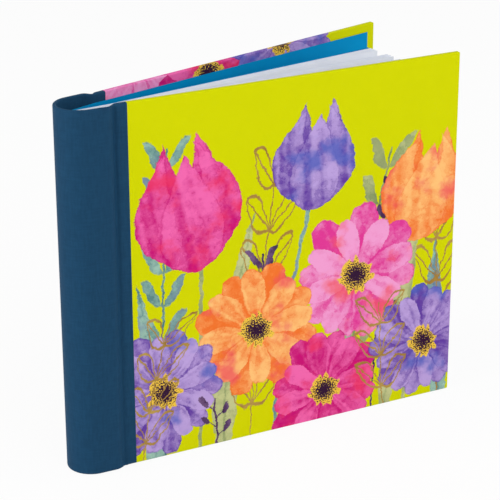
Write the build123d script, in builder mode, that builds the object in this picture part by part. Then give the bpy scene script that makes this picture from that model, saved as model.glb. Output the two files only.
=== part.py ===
# Address book: a quarter-bound hardback with a rounded hollow spine and a stepped tab index.
# It stands on its tail, a little open. Millimetres and degrees, +X from the spine to the fore-edge,
# +Y from the front cover to the back cover, +Z up. The origin is the bottom centre of its box.
from build123d import *
from math import cos, radians, sin
import os

# Leaves and index
sections = 12           # bunches of leaves, each behind its own divider
leaf_width = 155.1      # from the bound edge to the fore-edge
leaf_height = 152.6
leaves_thick = 0.46     # the leaves of one section pressed together
divider_thick = 0.24
leaf_gap = 0.1          # air between neighbours in the closed book
tab_reach = 13.5        # tabs beyond the fore-edge of the leaves
tab_margin = 1.5        # from the head and tail of the leaves to the first and last tab
tab_gap = 0.8           # between one tab and the next, seen from the front
tab_corner = 2.5
endpaper_thick = 0.15

# Binding of the block
bound_depth = 12.8      # from the hinge line of the covers back to the bound edge
gutter_reach = 4.0      # from the hinge line out to the bend of the flyleaves
bend_clearance = 0.1    # between a bound edge and the leaves that turn in front of it
spine_glue_thick = 0.5
mull_thick = 0.25
mull_inset = 12.0       # the gauze stops short of the head and tail of the leaves

# Covers
head_square = 3.7       # cover beyond the leaves at head and tail
fore_square = 7.3       # cover board beyond the tabs at the fore-edge
board_thick = 1.8
paper_thick = 0.2       # printed cover paper
cloth_thick = 0.35      # book cloth
glue_line = 0.05        # paste between layers that lie on each other
turn_in = 15.0          # paper and cloth turned in round the boards
mitre_gap = 0.3         # slit where two turned-in edges meet
cloth_lap = 4.4         # cloth on the board beyond its spine edge
pastedown_margin = 4.5  # turned-in paper left showing round the pastedown
pastedown_setback = 0.4  # from the hinge line
fold_overrun = 0.15     # the endpaper fold reaches this far past the hinge line

# Spine and grooves
spine_slack = 3.7       # room between the covers beyond the thickness of the block
spine_bulge = 1.6       # the edges of the rounded spine stand proud of the covers
spine_flare_angle = 6.0  # its sides splay towards the covers
spine_card_thick = 0.8
hollow_depth = 4.8      # open space between the block and the inside of the spine
wall_setback = 4.2      # from the hinge line to the edge of the spine card
board_setback = 1.8     # from the hinge line to the edge of the board
groove_depth = 0.4      # middle of the cloth at the bottom of the groove
groove_lip = 0.35       # from the card or board edge to the bend of the cloth
groove_round = 0.45
parting = 0.2           # half the slit between the cloth of the spine and of a cover

# How far it stands open
front_open_angle = 5.0
back_open_angle = 10.5
front_sections = 4      # these lean to the front together
front_fan_angle = 2.8
front_step_angle = 0.3
middle_sections = 3     # the first of these stays in line with the spine
middle_step_angle = 0.5
rear_fan_angle = 4.3
rear_step_angle = 0.1

# Sizes that follow from these
cover_height = leaf_height + 2 * head_square
leaf_foot = head_square
leaf_fore_edge = leaf_width - bound_depth
board_width = leaf_fore_edge + tab_reach + fore_square - board_setback
board_edge = board_setback + board_width
cover_reach = board_edge + glue_line + paper_thick
cloth_edge = board_setback + cloth_lap
section_thick = leaves_thick + divider_thick
pitch = section_thick + leaf_gap
fold_radius = section_thick / 2
fixed_section = front_sections + 1
tab_height = (leaf_height - 2 * tab_margin) / sections - tab_gap

# Layers of a cover, as depths in from the outer face of its cloth
board_outer = cloth_thick + glue_line
paper_outer = board_outer - glue_line - paper_thick
board_inner = board_outer + board_thick
turn_in_outer = board_inner + glue_line
paper_inner = turn_in_outer + paper_thick
cloth_inner = turn_in_outer + cloth_thick
pastedown_outer = cloth_inner + glue_line
cover_thick = pastedown_outer + endpaper_thick

# Across the spine: the closed covers lie side by side at hinge_half on either side of the middle
stack_thick = 2 * leaf_gap + 2 * endpaper_thick + sections * pitch
hinge_half = cover_thick + (stack_thick + spine_slack) / 2
stack_front = -(hinge_half - cover_thick)
front_flyleaf_y = stack_front + leaf_gap + endpaper_thick / 2
first_section_y = stack_front + 2 * leaf_gap + endpaper_thick
block_back_y = first_section_y + sections * pitch - leaf_gap
back_flyleaf_y = block_back_y + leaf_gap + endpaper_thick / 2
spine_edge = hinge_half + spine_bulge
spine_wall = 2 * cloth_thick + 2 * glue_line + spine_card_thick
block_back_x = -(bound_depth + fold_radius + glue_line)
mull_outer_x = block_back_x - spine_glue_thick - glue_line - mull_thick
spine_reach = hollow_depth - mull_outer_x + spine_wall
flare_cos = cos(radians(spine_flare_angle))
flare_sin = sin(radians(spine_flare_angle))
spine_radius = (spine_edge * flare_cos - (spine_reach - wall_setback) * flare_sin) / (1 - flare_sin)
spine_side = spine_reach - spine_radius

# The box that the open book fills, and its middle
box_left = -spine_reach
front_turn = radians(front_open_angle)
back_turn = radians(back_open_angle)
box_right = cover_reach * cos(front_turn) + paper_inner * sin(front_turn)
box_front = -hinge_half - cover_reach * sin(front_turn) + paper_outer * cos(front_turn)
box_back = hinge_half + cover_reach * sin(back_turn) - paper_outer * cos(back_turn)
middle = ((box_left + box_right) / 2, (box_front + box_back) / 2)


def upright_plane(x, y, angle):
    """Plan plane with its origin on an upright line of the spine, turned by an angle from +X."""
    direction = (cos(radians(angle)), sin(radians(angle)), 0)
    return Plane(origin=(x - middle[0], y - middle[1], 0), x_dir=direction, z_dir=(0, 0, 1))


spine_plane = upright_plane(0, 0, 0)
front_plane = upright_plane(0, -hinge_half, -front_open_angle)
back_plane = upright_plane(0, hinge_half, back_open_angle)


def finish(piece, name):
    piece.part.label = name
    export_step(piece.part, f"parts/{name}.step")


def layer(plane, side, along, depth, foot):
    """Plan rectangle of a cover layer: along it from the hinge line, depth in from its outer face."""
    with BuildSketch(plane.offset(foot)) as outline:
        with Locations(((along[0] + along[1]) / 2, side * (depth[0] + depth[1]) / 2)):
            Rectangle(along[1] - along[0], depth[1] - depth[0])
    return outline.sketch


def spine_outline(inset):
    """Plan outline of the rounded spine, inset from the face of its cloth, closed at the card's edge."""
    radius = spine_radius - inset
    edge = (radius + (spine_side - wall_setback) * flare_sin) / flare_cos
    arc_end = (-spine_side - radius * flare_sin, radius * flare_cos)
    with BuildSketch(mode=Mode.PRIVATE) as outline:
        with BuildLine():
            back = ThreePointArc((arc_end[0], -arc_end[1]), (-spine_side - radius, 0), arc_end)
            Line(back @ 0, (-wall_setback, -edge))
            Line(back @ 1, (-wall_setback, edge))
            Line((-wall_setback, -edge), (-wall_setback, edge))
        make_face()
    return outline.sketch_local


def spine_layer(outer, inner, foot):
    """Plan ring of the spine between two insets, open towards the block."""
    with BuildSketch(spine_plane.offset(foot)) as ring:
        add(spine_outline(outer))
        add(spine_outline(inner), mode=Mode.SUBTRACT)
    return ring.sketch


def turn_plane(x, y, angle):
    """Plane of a sheet that turns about an upright line: x along the sheet, y up, facing the front cover."""
    plan = upright_plane(x, y, angle)
    return Plane(origin=plan.origin, x_dir=plan.x_dir, z_dir=-plan.y_dir)


os.makedirs("parts", exist_ok=True)

# Spine: the card, and the cloth that wraps its outside and turns in over its head and tail
card_inset = cloth_thick + glue_line
lining_inset = card_inset + spine_card_thick + glue_line
with BuildPart() as spine_card:
    extrude(spine_layer(card_inset, card_inset + spine_card_thick, card_inset), cover_height - 2 * card_inset)
finish(spine_card, "spine_card")

with BuildPart() as spine_cloth:
    extrude(spine_layer(0, cloth_thick, 0), cover_height)
    for foot in (0, cover_height - cloth_thick):
        extrude(spine_layer(0, spine_wall, foot), cloth_thick)
    for foot in (0, cover_height - turn_in):
        extrude(spine_layer(lining_inset, spine_wall, foot), turn_in)
    for side in (-1, 1):
        wall_middle = spine_edge - cloth_thick / 2
        with BuildSketch(spine_plane) as groove:
            with BuildLine():
                FilletPolyline(
                    (-wall_setback, side * wall_middle),
                    (-wall_setback + groove_lip, side * wall_middle),
                    (-parting, side * (hinge_half - groove_depth)),
                    radius=groove_round,
                )
            trace(line_width=cloth_thick)
        extrude(groove.sketch, cover_height)
finish(spine_cloth, "spine_cloth")

# Back of the block: glue over the bound edges, gauze over the glue
with BuildPart() as spine_glue:
    with BuildSketch(spine_plane.offset(leaf_foot)):
        with Locations((block_back_x - spine_glue_thick / 2, (first_section_y + block_back_y) / 2)):
            Rectangle(spine_glue_thick, block_back_y - first_section_y)
    extrude(amount=leaf_height)
finish(spine_glue, "spine_glue")

with BuildPart() as mull:
    with BuildSketch(spine_plane.offset(leaf_foot + mull_inset)):
        with Locations((mull_outer_x + mull_thick / 2, (first_section_y + block_back_y) / 2)):
            Rectangle(mull_thick, block_back_y - first_section_y)
    extrude(amount=leaf_height - 2 * mull_inset)
finish(mull, "mull")

# Endpaper folds: one leg lies on the block, the other runs to the hinge line of its cover
for name, side, flyleaf_y in (("front", -1, front_flyleaf_y), ("back", 1, back_flyleaf_y)):
    leg_end = gutter_reach - endpaper_thick / 2 - bend_clearance
    leg_step = endpaper_thick + glue_line
    cover_y = side * (hinge_half - cover_thick + endpaper_thick / 2)
    with BuildPart() as endpaper_fold:
        with BuildSketch(spine_plane.offset(leaf_foot)):
            with BuildLine():
                Polyline(
                    (leg_end, flyleaf_y),
                    (-bound_depth, flyleaf_y),
                    (-bound_depth, flyleaf_y + side * leg_step),
                    (fold_overrun, cover_y),
                )
            trace(line_width=endpaper_thick)
        extrude(amount=leaf_height)
    finish(endpaper_fold, f"{name}_endpaper_fold")

# Covers, each in its own plane with its origin on the hinge line
for name, side, plane in (("front", 1, front_plane), ("back", -1, back_plane)):
    with BuildPart() as board:
        extrude(layer(plane, side, (board_setback, board_edge), (board_outer, board_inner), card_inset),
                cover_height - 2 * card_inset)
    finish(board, f"{name}_board")

    with BuildPart() as cover_paper:
        around = (cloth_edge, cover_reach)
        inside = (cloth_edge, cover_reach - paper_thick)
        window = (cloth_edge, cover_reach - turn_in)
        extrude(layer(plane, side, around, (paper_outer, paper_inner), 0), cover_height)
        extrude(layer(plane, side, inside, (paper_outer + paper_thick, turn_in_outer), paper_thick),
                cover_height - 2 * paper_thick, mode=Mode.SUBTRACT)
        extrude(layer(plane, side, window, (turn_in_outer, paper_inner), turn_in),
                cover_height - 2 * turn_in, mode=Mode.SUBTRACT)
        inner_face = Plane(
            origin=plane.from_local_coords((cover_reach, side * turn_in_outer, 0)),
            x_dir=plane.x_dir,
            z_dir=-side * plane.y_dir,
        )
        with BuildSketch(inner_face) as mitres:
            up = inner_face.y_dir.Z
            for corner, angle in ((0, -45), (cover_height, 45)):
                with Locations(Location((0, up * corner), up * angle)):
                    with Locations((-paper_thick * 2, 0)):
                        Rectangle(turn_in * 2, mitre_gap, align=(Align.MAX, Align.CENTER))
        extrude(mitres.sketch, amount=-paper_thick, mode=Mode.SUBTRACT)
    finish(cover_paper, f"{name}_cover_paper")

    with BuildPart() as joint_cloth:
        lap = (board_setback, cloth_edge)
        with BuildSketch(plane) as outer_cloth:
            with BuildLine():
                FilletPolyline(
                    (cloth_edge, side * cloth_thick / 2),
                    (board_setback - groove_lip, side * cloth_thick / 2),
                    (parting, side * groove_depth),
                    radius=groove_round,
                )
            trace(line_width=cloth_thick)
        extrude(outer_cloth.sketch, cover_height)
        for foot in (0, cover_height - cloth_thick):
            extrude(layer(plane, side, lap, (0, cloth_inner), foot), cloth_thick)
        for foot in (0, cover_height - turn_in):
            extrude(layer(plane, side, lap, (turn_in_outer, cloth_inner), foot), turn_in)
    finish(joint_cloth, f"{name}_joint_cloth")

    with BuildPart() as pastedown:
        sheet = (pastedown_setback, cover_reach - pastedown_margin)
        extrude(layer(plane, side, sheet, (pastedown_outer, cover_thick), leaf_foot), leaf_height)
    finish(pastedown, f"{name}_pastedown")
    print("hinge", f"{name}_cover", plane.origin.X, plane.origin.Y)


def section_lean(number):
    """Angle of a section from the line of the spine, minus towards the front cover."""
    if number <= front_sections:
        return -(front_fan_angle - front_step_angle * (number - 1))
    if number <= front_sections + middle_sections:
        return middle_step_angle * (number - fixed_section)
    return rear_fan_angle - rear_step_angle * (sections - number)


def section_y(number):
    """Middle of the leaves of a section across the spine."""
    return first_section_y + (number - 1) * pitch + divider_thick + leaves_thick / 2


def bend_x(number):
    """Line where a section bends out of the spine: the outer sections bend nearest the hinge line."""
    from_outside = number if number <= fixed_section else sections + 1 - number
    return gutter_reach + from_outside * pitch


def rounded_sheet(plane, length, thick):
    """Plan of a sheet from a rounded edge on the plane's origin."""
    with BuildSketch(plane.offset(leaf_foot)) as plan:
        Rectangle(length, thick, align=(Align.MIN, Align.CENTER))
        Circle(thick / 2)
    return plan.sketch


# Sections: the leaves turn about the bend of their gutter, and one section is bound to the spine whole
for number in range(1, sections + 1):
    start_x = -bound_depth if number == fixed_section else bend_x(number)
    start = (start_x, section_y(number), section_lean(number))
    length = leaf_fore_edge - start_x
    with BuildPart() as leaves:
        extrude(rounded_sheet(upright_plane(*start), length, leaves_thick), leaf_height)
    finish(leaves, f"leaves_{number:02d}")

    sheet_plane = turn_plane(*start).offset(leaves_thick / 2)
    tab_top = leaf_foot + leaf_height - tab_margin - (number - 1) * (tab_height + tab_gap)
    with BuildPart() as divider:
        with BuildSketch(sheet_plane):
            with Locations((0, leaf_foot)):
                Rectangle(length, leaf_height, align=(Align.MIN, Align.MIN))
            with Locations((length - tab_corner, tab_top)):
                tab = Rectangle(tab_reach + tab_corner, tab_height, align=(Align.MIN, Align.MAX))
            fillet(tab.vertices().group_by(Axis.X)[-1], tab_corner)
        extrude(amount=divider_thick)
    finish(divider, f"divider_{number:02d}")
    if number != fixed_section:
        print("hinge", f"section_{number:02d}", start[0] - middle[0], start[1] - middle[1], start[2])

with BuildPart() as bound_edges:
    with BuildSketch(spine_plane.offset(leaf_foot)):
        for number in range(1, sections + 1):
            if number != fixed_section:
                bound_length = bend_x(number) - fold_radius - divider_thick - bend_clearance + bound_depth
                with Locations((-bound_depth, section_y(number) - divider_thick / 2)):
                    Rectangle(bound_length, section_thick, align=(Align.MIN, Align.CENTER))
                    Circle(fold_radius)
    extrude(amount=leaf_height)
finish(bound_edges, "bound_edges")

# Flyleaves: the loose halves of the endpapers, just outside the first and last section
front_fly_lean = -(front_fan_angle + middle_step_angle)
back_fly_lean = rear_fan_angle + middle_step_angle
for name, y, lean in (("front", front_flyleaf_y, front_fly_lean), ("back", back_flyleaf_y, back_fly_lean)):
    with BuildPart() as flyleaf:
        flyleaf_plane = upright_plane(gutter_reach, y, lean)
        extrude(rounded_sheet(flyleaf_plane, leaf_fore_edge - gutter_reach, endpaper_thick), leaf_height)
    finish(flyleaf, f"{name}_flyleaf")
    print("hinge", f"{name}_flyleaf", gutter_reach - middle[0], y - middle[1], lean)

print("middle", *middle, "box", box_left, box_right, box_front, box_back, "side", spine_side)
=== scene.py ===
import bpy
import bmesh
from math import cos, exp, pi, radians, sin
from types import SimpleNamespace
from mathutils import Euler, Matrix, Vector


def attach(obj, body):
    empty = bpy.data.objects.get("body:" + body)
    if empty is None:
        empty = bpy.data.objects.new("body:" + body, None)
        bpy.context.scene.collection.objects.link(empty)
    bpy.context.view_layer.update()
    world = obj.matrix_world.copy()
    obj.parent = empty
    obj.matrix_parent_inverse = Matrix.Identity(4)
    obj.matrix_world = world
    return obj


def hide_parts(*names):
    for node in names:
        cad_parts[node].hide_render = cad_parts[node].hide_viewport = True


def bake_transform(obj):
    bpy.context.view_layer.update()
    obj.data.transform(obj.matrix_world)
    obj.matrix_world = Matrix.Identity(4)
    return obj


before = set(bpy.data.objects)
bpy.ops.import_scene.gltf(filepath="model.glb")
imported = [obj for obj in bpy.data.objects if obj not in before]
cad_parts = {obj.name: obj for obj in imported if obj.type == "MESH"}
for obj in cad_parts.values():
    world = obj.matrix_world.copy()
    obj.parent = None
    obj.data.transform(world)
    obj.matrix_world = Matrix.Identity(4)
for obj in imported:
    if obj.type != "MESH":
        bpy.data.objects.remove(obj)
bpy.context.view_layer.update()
scene = bpy.context.scene
mm = 0.001
weld = 1e-7  # points nearer than this are one, in metres
sharpFrom = 35.0  # degrees between faces that meet in a sharp edge
printScale = 200.0  # millimetres of sheet or cloth across one unit of its UV map
quarterTurn = [radians(15 * k) for k in range(7)]  # steps round a quarter of a circle
white = (1.0, 1.0, 1.0, 1.0)

# places are worked out in millimetres from the spine line, then moved to the row frame
book = {
    "height": 160.0,
    "spineReach": 20.4,  # line of the hinges to the back of the spine
    "hingeHalf": 9.7,  # hinge lines either side of the spine's middle
    "open": {-1: -5.0, 1: 10.5},  # lean of the front and back cover
    "cover": {-1: "front", 1: "back"},
    "coverReach": 163.35,  # hinge line to the fore-edge of a cover
    "paperDepth": (0.15, 2.45),  # faces of the cover paper, in from the face of the cloth
    "clothEdge": 6.2,  # hinge line to the edge of the cloth on a cover
    "turnIn": 15.0,
    "leafFoot": 3.7,
    "leafHeight": 152.6,
    "leafFore": 142.3,  # line of the hinges to the fore-edge of the leaves
    "boundDepth": 12.8,  # and back to their bound edge
    "bendHalf": 3.5,  # sheet either side of a bend line that takes part in the bend
}


def coverPoint(side, along, depth):  # in plan: along a cover from its hinge line, and in from its face
    lean = radians(book["open"][side])
    return Vector((
        along * cos(lean) + depth * side * sin(lean),
        side * book["hingeHalf"] + along * sin(lean) - depth * side * cos(lean),
    ))


foreCorners = [coverPoint(side, book["coverReach"], depth)
               for side in book["cover"] for depth in book["paperDepth"]]
bookMiddle = (  # of the open book's box, which stands on the origin
    (max(corner.x for corner in foreCorners) - book["spineReach"]) / 2,
    (max(corner.y for corner in foreCorners) + min(corner.y for corner in foreCorners)) / 2,
)


def rowPoint(x, y, z=0.0):
    return Vector((x - bookMiddle[0], y - bookMiddle[1], z)) * mm


def sumOf(operation):  # a method of Wire that does one operation
    return lambda wire, *others: wire.sum(operation, wire, *others)


class Wire:  # a socket that takes part in Python expressions
    def __init__(self, tree, socket=None):
        self.tree, self.socket = tree, socket

    def node(self, kind, settings=None, sockets=None, out=0):
        made = self.tree.nodes.new(kind)
        for name, value in (settings or {}).items():
            setattr(made, name, value)
        for name, value in (sockets or {}).items():
            if isinstance(value, Wire):
                self.tree.links.new(value.socket, made.inputs[name])
            else:
                made.inputs[name].default_value = value
        return Wire(self.tree, made.outputs[out])

    def beside(self, out):  # another output of the same node
        return Wire(self.tree, self.socket.node.outputs[out])

    def sum(self, operation, *values):
        return self.node("ShaderNodeMath", {"operation": operation}, dict(enumerate(values)))

    __add__ = __radd__ = sumOf("ADD")
    __mul__ = __rmul__ = sumOf("MULTIPLY")
    __sub__, __truediv__, __pow__ = sumOf("SUBTRACT"), sumOf("DIVIDE"), sumOf("POWER")
    __abs__, sine, whole, most = sumOf("ABSOLUTE"), sumOf("SINE"), sumOf("FLOOR"), sumOf("MAXIMUM")

    def __rsub__(self, other):
        return self.sum("SUBTRACT", other, self)

    def between(self, low, high):  # 1 from low to high, with hard ends
        return self.sum("GREATER_THAN", self, low) * self.sum("LESS_THAN", self, high)

    def clamp(self):
        return self.node("ShaderNodeClamp", None, {0: self})

    def step(self, low, high):  # 0 at low, 1 at high, eased between and level beyond
        return self.node("ShaderNodeMapRange", {"interpolation_type": "SMOOTHSTEP", "clamp": False},
                         {"Value": self, "From Min": low, "From Max": high})

    def blend(self, under, over):  # self is the share of over
        return self.node("ShaderNodeMix", {"data_type": "RGBA"}, {0: self, 6: under, 7: over}, out=2)

    def noise(self, scale, detail=2.0, rough=0.5, out=0):
        return self.node("ShaderNodeTexNoise", None,
                         {"Vector": self, "Scale": scale, "Detail": detail, "Roughness": rough}, out)

    def stretched(self, x, y):  # coordinates scaled apart
        return self.node("ShaderNodeVectorMath", {"operation": "MULTIPLY"}, {0: self, 1: (x, y, 1.0)})

    def chance(self):  # a number from 0 to 1 that jumps about from one whole number to the next
        wild = (self * 12.9898 + 4.1).sine() * 437.585  # uneven numbers, so that no order shows
        return self.sum("FRACT", wild)

    def streaks(self):  # uneven shades along one line, 0.2 to 0.8
        cell = self.whole()
        start, end = (place.chance() * 0.6 + 0.2 for place in (cell, cell + 1))
        share = (self - cell).step(0.0, 1.0)
        return start * (1 - share) + end * share


def tone(red, green, blue):  # screen colour to the linear colour that nodes take
    return tuple((c / 255 / 12.92 if c < 10.3 else ((c / 255 + 0.055) / 1.055) ** 2.4)
                 for c in (red, green, blue)) + (1.0,)


def newMaterial(name, **fixed):
    material = bpy.data.materials.new(name)
    material.use_nodes = True
    shader = material.node_tree.nodes["Principled BSDF"]
    for socket, value in fixed.items():
        shader.inputs[socket.replace("_", " ")].default_value = value
    return material, Wire(material.node_tree), shader


def feed(wire, shader, **sockets):
    for name, value in sockets.items():
        wire.tree.links.new(value.socket, shader.inputs[name.replace("_", " ")])


def bump(height, distance, strength):
    return height.node("ShaderNodeBump", None, {"Strength": strength, "Distance": distance, "Height": height})


def sheetCoord(wire):
    return wire.node("ShaderNodeUVMap", {"uv_map": "sheet"})


def splitCoord(coord):  # x here, and y and z beside it
    return coord.node("ShaderNodeSeparateXYZ", None, {0: coord})


def added(name, mesh, material):
    mesh.materials.append(material)
    piece = bpy.data.objects.new(name, mesh)
    scene.collection.objects.link(piece)
    return piece


def makePiece(name, points, faces, coords, material, local=False):
    mesh = bpy.data.meshes.new(name)
    mesh.from_pydata([Vector(p) * mm if local else rowPoint(*p) for p in points], [], faces)
    layer = mesh.uv_layers.new(name="sheet")
    for face in mesh.polygons:
        for loop, vertex in zip(face.loop_indices, faces[face.index]):
            layer.data[loop].uv = Vector(coords[vertex]) / printScale
    form = bmesh.new()
    form.from_mesh(mesh)
    bmesh.ops.remove_doubles(form, verts=form.verts, dist=weld)
    bmesh.ops.dissolve_degenerate(form, edges=form.edges, dist=weld)
    bmesh.ops.recalc_face_normals(form, faces=form.faces)
    form.to_mesh(mesh)
    form.free()
    mesh.shade_smooth()
    mesh.set_sharp_from_angle(angle=radians(sharpFrom))
    return added(name, mesh, material)


def strip(rows, count, closed):  # faces between rows of as many points each
    faces = []
    for i in range(rows - 1):
        for j in range(count if closed else count - 1):
            k = (j + 1) % count
            faces.append((i * count + j, (i + 1) * count + j, (i + 1) * count + k, i * count + k))
    return faces


def loft(rings):  # closed rings of equal length, joined in order and capped
    count = len(rings[0])
    points = [p for ring in rings for p in ring]
    faces = strip(len(rings), count, True)
    faces.append(tuple(reversed(range(count))))
    faces.append(tuple(range((len(rings) - 1) * count, len(rings) * count)))
    return points, faces


def lengths(points):  # running length along a line of points
    run = [0.0]
    for a, b in zip(points, points[1:]):
        run.append(run[-1] + (Vector(b) - Vector(a)).length)
    return run


def eased(points, steps):  # smooth line through points, with steps between each two
    ends = [2 * points[0] - points[1]] + list(points) + [2 * points[-1] - points[-2]]
    line = []
    for a, b, c, d in zip(ends, ends[1:], ends[2:], ends[3:]):
        for k in range(steps):
            t = k / steps
            line.append(0.5 * (2 * b + (c - a) * t + (2 * a - 5 * b + 4 * c - d) * t ** 2
                               + (3 * b - a - 3 * c + d) * t ** 3))
    return line + [points[-1]]


clothLook = {
    "navy": tone(27, 67, 97),
    "dark": tone(23, 60, 88),
    "thread": 0.5,  # millimetres from thread to thread
    "wander": 2.4,  # how far the fuzz shifts the threads
    "fuzz": 900.0,  # marks over one unit of the UV map, as in the next two
    "clouds": 26.0,
    "slubs": 230.0,  # thick places in a thread
    "slubLong": 0.14,  # a slub's width over its length
    "shares": {"cloud": 0.2, "weave": 0.14, "up": 0.5, "across": 0.42, "fuzz": 0.2},  # of each in the colour
    "tintHalf": 0.16,  # sum of the shares at which the colour is all navy
    "relief": 0.00005,  # metres
}


def bookClothMaterial():
    material, wire, shader = newMaterial("bookCloth", Specular_IOR_Level=0.06)
    sheet = sheetCoord(wire)
    split = splitCoord(sheet)
    fuzz = sheet.noise(clothLook["fuzz"], 3)
    turns = 2 * pi * printScale / clothLook["thread"]
    warp = (split * turns + fuzz * clothLook["wander"]).sine()
    weft = (split.beside(1) * turns + fuzz * clothLook["wander"]).sine()
    weave = warp * weft * 0.5 + 0.5
    pulls = (1.0, clothLook["slubLong"]), (clothLook["slubLong"], 1.0)
    up, across = (sheet.stretched(*pull).noise(clothLook["slubs"], 2, 0.6) for pull in pulls)
    cloud = sheet.noise(clothLook["clouds"], 4, 0.6)
    parts = {"cloud": cloud, "weave": weave, "up": up, "across": across, "fuzz": fuzz}
    tint = sum((part - 0.5) * clothLook["shares"][name] for name, part in parts.items())
    tint = tint.step(-clothLook["tintHalf"], clothLook["tintHalf"])
    feed(wire, shader,
         Base_Color=tint.blend(clothLook["dark"], clothLook["navy"]),
         Roughness=cloud * 0.14 + weave * 0.05 + 0.52,
         Normal=bump(weave * 0.7 + up * 0.5 + across * 0.5, clothLook["relief"], 0.4))
    return material


bookCloth = bookClothMaterial()

cloth = {
    "thick": 0.35,
    "wall": 1.6,  # cloth, card and turned-in cloth
    "setback": 4.2,  # line of the hinges to the edge of the spine card
    "stand": 1.6,  # the spine's sides stand this far out from the closed covers there
    "flare": 6.0,  # degrees by which the sides splay
    "arcSteps": 26,
    "sideSteps": 8,
    "bendSteps": 3,
    "seam": 4,  # steps along the side where the hinge piece takes over
    "hingeRun": 60.0,  # where a hinge piece comes on the flat cloth
    "edgeRound": 0.7,
    "dip": 0.22,  # the cloth drops this far at the head of the groove
    "dipAt": 0.2,
    "dipWide": 1.3,
    "fill": {"tail": 1.1, "head": 0.3},  # the groove comes out this far at its ends, over doubled cloth
    "fillAt": 0.55,
    "fillWide": 1.5,
    "fillLong": 5.0,
    "endRows": (0.8, 1.8, 3.0, 4.5, 6.5),  # on the face, in from its rounded head and tail
    "rows": (30.0, 60.0, 80.0, 100.0, 130.0),  # and between those
    "bendFrom": (-2.0, 0.5),  # the cloth turns from here, along and out from the hinge line,
    "bendTo": (1.9, 0.7),  # to here, along the cover and in from its face
    # across the groove: place along the spine, face and inside, both out from the closed cover
    "groove": [
        (-3.5, 1.64, 0.2), (-2.8, 1.6, 0.2), (-2.1, 1.42, 0.05), (-1.4, 0.98, -0.3), (-0.8, 0.4, -0.7),
    ],
    # on the cover: place along it, face and inside, both in from the face of the lap
    "lap": [
        (-0.25, 0.2, 1.1), (0.15, 0.66, 1.6), (0.5, 0.9, 1.95), (0.85, 0.88, 2.25), (1.2, 0.68, 2.5),
        (1.5, 0.46, 2.6), (1.8, 0.27, 2.6), (2.2, 0.13, 2.6), (2.7, 0.05, 2.6), (3.3, 0.01, 2.6),
        (4.4, 0.0, 2.6), (5.5, 0.0, 2.6), (6.05, 0.0, 2.6), (6.2, 0.09, 2.51),
    ],
}
clothFaces = (0.0, 1), (cloth["wall"], 2)  # inset of the outer and inner face, and their column above


def clothLine(side, inset, column):  # a face of the case in plan, from the back's middle to the lap's edge
    half, flare = book["hingeHalf"], radians(cloth["flare"])
    straight = book["spineReach"] - cloth["setback"]
    radius = ((half + cloth["stand"]) * cos(flare) - straight * sin(flare)) / (1 - sin(flare))
    centre = Vector((radius - book["spineReach"], 0))
    turns = [(pi / 2 - flare) * k / cloth["arcSteps"] for k in range(cloth["arcSteps"] + 1)]
    line = [centre + Vector((-cos(t), side * sin(t))) * (radius - inset) for t in turns]
    arcEnd = line[-1]
    length = (radius * sin(flare) - cloth["setback"] - centre.x) / cos(flare)
    way = Vector((cos(flare), side * sin(flare))) * length
    line += [arcEnd + way * k / cloth["sideSteps"] for k in range(1, cloth["sideSteps"])]
    bend = [arcEnd + way]
    bend += [Vector((place[0], side * (half + place[column]))) for place in cloth["groove"]]
    bend += [coverPoint(side, place[0], place[column]) for place in cloth["lap"]]
    return line + eased(bend, cloth["bendSteps"])


def grooveDip(place):  # how far the head of the cloth drops at a place along the case
    return cloth["dip"] * exp(-((place.x - cloth["dipAt"]) / cloth["dipWide"]) ** 2)


def grooveFill(place, z):  # how far the face of the groove comes out near its ends
    tail = max(0.0, 1 - z / cloth["fillLong"]) ** 2 * cloth["fill"]["tail"]
    head = max(0.0, 1 - (book["height"] - z) / cloth["fillLong"]) ** 2 * cloth["fill"]["head"]
    return (tail + head) * exp(-((place.x - cloth["fillAt"]) / cloth["fillWide"]) ** 2)


def clothRing(outer, inner):  # section up the case: over the head, down inside, and back behind the cloth
    height, turnIn, thick = book["height"] - grooveDip(outer), book["turnIn"], cloth["thick"]
    wall = (inner - outer).length
    inward = (inner - outer) / wall
    edge = min(wall / 2, cloth["edgeRound"])
    rows = [edge + row for row in (0.0, *cloth["endRows"], *cloth["rows"])]
    rows += [height - edge - row for row in reversed(cloth["endRows"])]
    section = [(0, z) for z in rows]
    section += [(edge - edge * cos(t), height - edge + edge * sin(t)) for t in quarterTurn]
    section += [(wall - edge + edge * sin(t), height - edge + edge * cos(t)) for t in quarterTurn]
    section += [(wall, height - turnIn), (wall - thick, height - turnIn), (wall - thick, height - thick)]
    section += [(thick, height - thick), (thick, thick)]
    section += [(wall - thick, thick), (wall - thick, turnIn), (wall, turnIn)]
    section += [(wall - edge + edge * cos(t), edge - edge * sin(t)) for t in quarterTurn]
    section += [(edge - edge * sin(t), edge - edge * cos(t)) for t in quarterTurn[:-1]]
    section = [(depth - grooveFill(outer, z) * (depth < wall / 2), z) for depth, z in section]
    return [(*(outer + inward * depth), z) for depth, z in section], section


def clothPiece(name, outer, inner, start):
    rings, coords = [], []
    for o, i, run in zip(outer, inner, lengths(outer)):
        ring, section = clothRing(o, i)
        rings.append(ring)
        coords += [(start + run, rise) for rise in lengths(section)]
    points, faces = loft(rings)
    return makePiece(name, points, faces, coords, bookCloth)


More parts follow.
